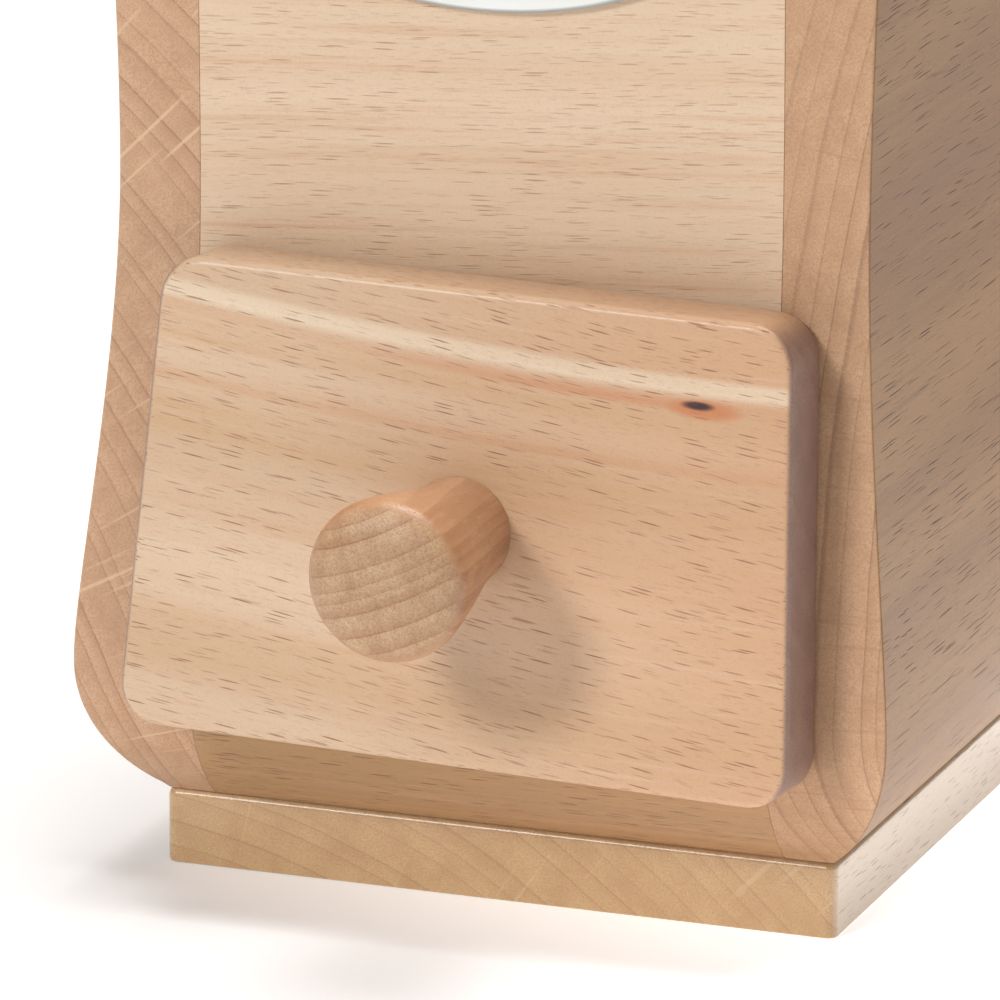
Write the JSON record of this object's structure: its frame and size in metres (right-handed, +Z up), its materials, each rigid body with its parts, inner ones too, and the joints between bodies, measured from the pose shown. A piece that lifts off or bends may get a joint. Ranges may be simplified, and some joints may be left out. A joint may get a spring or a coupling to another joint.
{
  "type": "box coffee grinder",
  "caption": "Hand-cranked box coffee mill: ogee-sided beech box with a front drawer, chromed dome hopper with a turning shutter, cranked arm and conical burrs.",
  "frame": {"origin": "centre of the plinth's flat underside, on the spindle's axis", "axes": "+Z up along the spindle, -Y towards the drawer (front), +X towards the crank's knob at rest"},
  "size_m": [0.1815, 0.1621, 0.2611],
  "materials": {
    "beech": "light oiled beech, satin",
    "beech_plinth": "oiled beech, end grain to the front",
    "plywood": "bare plywood",
    "enamel": "glossy white enamel",
    "chrome": "polished",
    "steel": "zinc-plated, satin",
    "tinplate": "tinned sheet, dull",
    "iron": "machined and oiled",
    "brass": "polished"
  },
  "bodies": {
    "housing": {"base_plinth": "beech_plinth", "left_side": "beech", "right_side": "beech", "front_panel": "beech", "front_rail": "beech", "back_panel": "beech", "runner_left": "beech", "runner_right": "beech", "top_board": "beech", "oval_badge": "enamel", "badge_pin_left": "brass", "badge_pin_right": "brass", "plinth_screw_1": "steel", "plinth_screw_2": "steel", "plinth_screw_3": "steel", "plinth_screw_4": "steel", "hopper_funnel": "tinplate", "dome_cover": "chrome", "spindle_bush": "brass", "flange_bolt_1": "steel", "flange_bolt_2": "steel", "flange_bolt_3": "steel", "flange_bolt_4": "steel", "bolt_nut_1": "steel", "bolt_nut_2": "steel", "bolt_nut_3": "steel", "bolt_nut_4": "steel", "support_plate": "steel", "outer_burr": "iron", "burr_screw_1": "steel", "burr_screw_2": "steel", "burr_screw_3": "steel", "lower_stirrup": "steel", "stirrup_screw_1": "steel", "stirrup_screw_2": "steel", "spindle_spring": "steel"},
    "shutter": {"fill_shutter": "chrome", "shutter_button": "brass"},
    "carriage": {"thrust_ball": "steel"},
    "adjuster": {"adjusting_screw": "steel", "adjusting_wheel": "brass"},
    "crank": {"spindle": "steel", "inner_burr": "iron", "burr_pin": "steel", "spring_collar": "steel", "crank_washer": "brass", "crank_arm": "chrome", "crown_nut": "chrome", "knob_pin": "steel"},
    "crank_grip": {"crank_knob": "beech"},
    "drawer": {"drawer_front": "beech", "drawer_side_left": "beech", "drawer_side_right": "beech", "drawer_back": "beech", "drawer_floor": "plywood", "drawer_knob": "beech", "knob_screw": "steel"}
  },
  "joints": [
    {"name": "drawer_slide", "type": "slide", "parent": "housing", "child": "drawer", "axis": [0, -1, 0], "range_m": [0, 0.078]},
    {"name": "shutter_turn", "type": "hinge", "parent": "housing", "child": "shutter", "pos_m": [0, 0, 0.217], "axis": [0, 0, 1], "range_deg": [0, 75]},
    {"name": "grind_lift", "type": "slide", "parent": "housing", "child": "carriage", "axis": [0, 0, 1], "range_m": [0, 0.001], "deforming": ["spindle_spring"]},
    {"name": "adjuster_turn", "type": "hinge", "parent": "carriage", "child": "adjuster", "pos_m": [0, 0, 0.1], "axis": [0, 0, 1], "range_deg": [0, 361]},
    {"name": "crank_turn", "type": "hinge", "parent": "carriage", "child": "crank", "pos_m": [0, 0, 0.2], "axis": [0, 0, 1], "continuous": true},
    {"name": "knob_spin", "type": "hinge", "parent": "crank", "child": "crank_grip", "pos_m": [0.105, 0, 0.235], "axis": [0, 0, 1], "continuous": true}
  ],
  "couplings": [
    {"joint": "adjuster_turn", "follows": "grind_lift", "rad_per_m": 6283.2}
  ]
}
